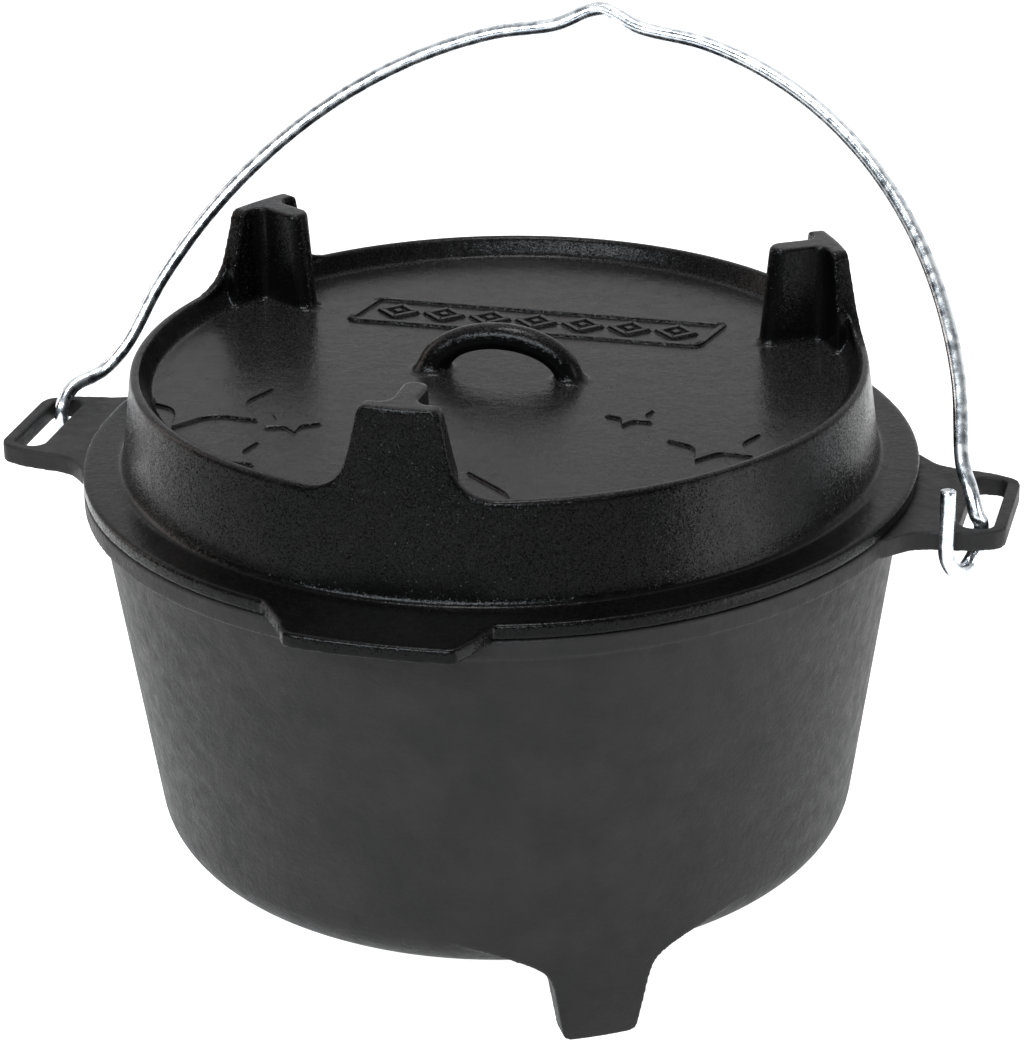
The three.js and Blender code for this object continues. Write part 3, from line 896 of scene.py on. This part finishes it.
def cast_iron(name, base, warm, rough, specular, grain, sparkle, dusty):
    """Iron in two blotchy tones, with bumps of three sizes, facets that glint and dust on level faces."""
    mat, tree, shader = material(name)
    place = tree.add("TexCoord", {}).outputs["Object"]
    facing = tree.add("NewGeometry", {}).outputs["Normal"]
    facing_up = tree.add("SeparateXYZ", {0: facing}).outputs["Z"]
    height = tree.add("SeparateXYZ", {0: place}).outputs["Z"]

    def fade(source, span, low, high):
        return tree.ramp(source, *span, low, high).outputs["Result"]

    def by_slope(wall, top):
        return fade(facing_up, LEVEL_FACE, wall, top)

    tone = tree.mix((*base, 1), (*warm, 1), fade(tree.noise(place, 38, 4, 0.6), (0.35, 0.68), 0, 1))
    tray = tree.arithmetic("MULTIPLY", by_slope(0, dusty), fade(height, TRAY_HEIGHT, LOW_DUST, 1))
    specks = fade(tree.noise(place, 1500, 2, 0.6), (0.4, 0.75), 0, 1)
    dust = tree.arithmetic("MULTIPLY", specks, tray)

    normal = tree.bump(tree.noise(place, 110, 2), 0.35 * grain, 0.0012)
    normal = tree.bump(tree.noise(place, 420, 3, 0.6), 0.5 * grain, 0.0006, normal)
    fine = by_slope(0.32 * grain, 0.3 * grain)
    normal = tree.bump(tree.noise(place, 1250, 2, 0.6), fine, 0.0005, normal)

    # Each facet leans its own way, and some lean much more than others.
    facets = tree.add("TexVoronoi", {"Vector": place, "Scale": FACET_SCALE}).outputs["Color"]
    pick = tree.add("SeparateColor", {0: facets}).outputs["Blue"]
    amount = tree.arithmetic("MULTIPLY", fade(pick, (0.2, 1.0), 0.1, 1.0), by_slope(sparkle, sparkle * 0.25))
    tilt = tree.vector("SUBTRACT", {0: facets, 1: (0.5, 0.5, 0.5)})
    tilt = tree.vector("SCALE", {0: tilt, "Scale": amount})
    normal = tree.vector("NORMALIZE", {0: tree.vector("ADD", {0: normal, 1: tilt})})

    inputs = {
        "Base Color": tree.mix(tone, DUST_COLOUR, dust),
        "Roughness": fade(tree.noise(place, 160, 3, 0.6), (0.3, 0.7), rough - 0.06, rough + 0.08),
        "Normal": normal,
        "Metallic": 0.0,
        "Specular IOR Level": specular,
    }
    tree.feed(shader, inputs)
    return mat


def zinc(name):
    """Zinc plate with darker and lighter patches."""
    mat, tree, shader = material(name)
    place = tree.add("TexCoord", {}).outputs["Object"]
    patches = tree.noise(place, 240, 3)
    shade = tree.ramp(patches, 0.38, 0.55, 0, 1).outputs["Result"]
    inputs = {
        "Base Color": tree.mix((0.46, 0.50, 0.55, 1), (0.80, 0.84, 0.87, 1), shade),
        "Roughness": tree.ramp(patches, 0.35, 0.65, 0.18, 0.32).outputs["Result"],
        "Normal": tree.bump(tree.noise(place, 900, 2), 0.12, 0.0003),
        "Metallic": 1.0,
    }
    tree.feed(shader, inputs)
    return mat


# ---------------------------------------------------------------- build
VOXEL = 0.8
pot_obj = cast("pot_casting", pot(), VOXEL, passes=3)
lid_obj = cast("lid_casting", lid(), VOXEL, passes=6)
reliefs = [raised(clipped(star(*s), STAR_LIMIT)) for s in STARS] + panel()
relief_obj = make("lid_relief", joined(reliefs))
bail_obj = make("bail_wire", bail())
bail_obj.data.polygons.foreach_set("use_smooth", [True] * len(bail_obj.data.polygons))

pot_mat = cast_iron(
    "pot_cast_iron",
    base=(0.0060, 0.0057, 0.0057),
    warm=(0.0108, 0.0098, 0.0094),
    rough=0.5,
    specular=0.17,
    grain=0.7,
    sparkle=0.20,
    dusty=0.15,
)
lid_mat = cast_iron(
    "lid_cast_iron",
    base=(0.0008, 0.0008, 0.0008),
    warm=(0.0020, 0.0018, 0.0017),
    rough=0.2,
    specular=0.09,
    grain=0.42,
    sparkle=0.5,
    dusty=0.55,
)
wire_mat = zinc("zinc_wire")
for obj, body, node, slot, mat in (
    (pot_obj, "pot", "pot", "pot_iron", pot_mat),
    (lid_obj, "lid", "lid", "lid_iron", lid_mat),
    (relief_obj, "lid", "lid", "lid_iron", lid_mat),
    (bail_obj, "bail", "bail", "zinc_wire", wire_mat),
):
    obj.data.materials.clear()
    obj.data.materials.append(mat)
    keep_inside(obj, node)
    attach(obj, body)
    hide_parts(node)
    if node == "lid":
        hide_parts("loop_handle")

# ---------------------------------------------------------------- floor, light, camera
FLOOR_HALF = 5000
FLOOR_CORNERS = ((-1, -1), (1, -1), (1, 1), (-1, 1))
floor_points = [(x * FLOOR_HALF, y * FLOOR_HALF, FOOT_BOTTOM) for x, y in FLOOR_CORNERS]
floor = make("floor", (floor_points, [(0, 1, 2, 3)]))
floor_mat, floor_tree, floor_shader = material("floor_white")
floor_looks = {
    "Base Color": (0.5, 0.5, 0.5, 1),
    "Roughness": 0.9,
    "Specular IOR Level": 0.1,
    "Emission Color": (1, 1, 1, 1),
    "Emission Strength": 0.98,
}
floor_tree.feed(floor_shader, floor_looks)
floor.data.materials.append(floor_mat)

bpy.context.scene.view_settings.view_transform = "Standard"
world = bpy.data.worlds.new("studio")
bpy.context.scene.world = world
world.use_nodes = True
sky = Tree(world.node_tree)
direction = sky.add("TexCoord", {}).outputs["Generated"]
across = sky.add("SeparateXYZ", {0: direction})


def soft_ramp(source, start, end, low, high):
    node = sky.ramp(source, start, end, low, high)
    node.interpolation_type = "SMOOTHSTEP"
    return node.outputs["Result"]


# The room is bright behind the oven, dim in front of it and a little brighter overhead.
behind = soft_ramp(across.outputs["Y"], -0.05, 0.75, 0.05, 1.0)
above = soft_ramp(across.outputs["Z"], 0.5, 1.0, 0.0, 0.25)
strength = sky.arithmetic("ADD", behind, above)
sky.feed(sky.nodes["Background"], {"Color": (1, 1, 1, 1), "Strength": strength})

AZIMUTH, ELEVATION, DISTANCE = math.radians(15.16), math.radians(22.705), 1.3713
TARGET = Vector((0, 0, 0.1524))


def area(name, place, size, watts, colour=(1, 1, 1)):
    """A rectangular light, in metres, that points at the oven."""
    data = bpy.data.lights.new(name, "AREA")
    data.shape = "RECTANGLE"
    data.size, data.size_y = size
    data.energy = watts
    data.color = colour
    lamp = bpy.data.objects.new(name, data)
    lamp.location = place
    lamp.rotation_euler = (TARGET - Vector(place)).to_track_quat("-Z", "Y").to_euler()
    bpy.context.scene.collection.objects.link(lamp)


area("key_top", (-0.1, 0.05, 1.55), (0.5, 0.35), 12)
area("front_window", (-0.25, -1.55, 1.25), (1.8, 0.6), 68, (0.88, 0.95, 1.0))
area("left_strip", (-1.3, 0.2, 0.6), (0.5, 1.0), 4, (1.0, 0.88, 0.82))
area("right_box", (0.62, -0.137, 0.2), (0.26, 0.46), 1.7)

ROLL = math.radians(-1.085)
away = Vector(
    (math.sin(AZIMUTH) * math.cos(ELEVATION), -math.cos(AZIMUTH) * math.cos(ELEVATION), math.sin(ELEVATION))
)
right = Vector((math.cos(AZIMUTH), math.sin(AZIMUTH), 0))
up = away.cross(right)
right, up = (
    right * math.cos(ROLL) + up * math.sin(ROLL),
    up * math.cos(ROLL) - right * math.sin(ROLL),
)
camera_data = bpy.data.cameras.new("camera")
camera = bpy.data.objects.new("camera", camera_data)
bpy.context.scene.collection.objects.link(camera)
camera.matrix_world = Matrix(
    [(right[i], up[i], away[i], TARGET[i] + away[i] * DISTANCE) for i in range(3)] + [(0, 0, 0, 1)]
)
camera_data.sensor_width = 36
camera_data.lens = 123.146257
camera_data.shift_x = 0.0107
camera_data.shift_y = -0.0656
camera_data.clip_end = 20
bpy.context.scene.camera = camera
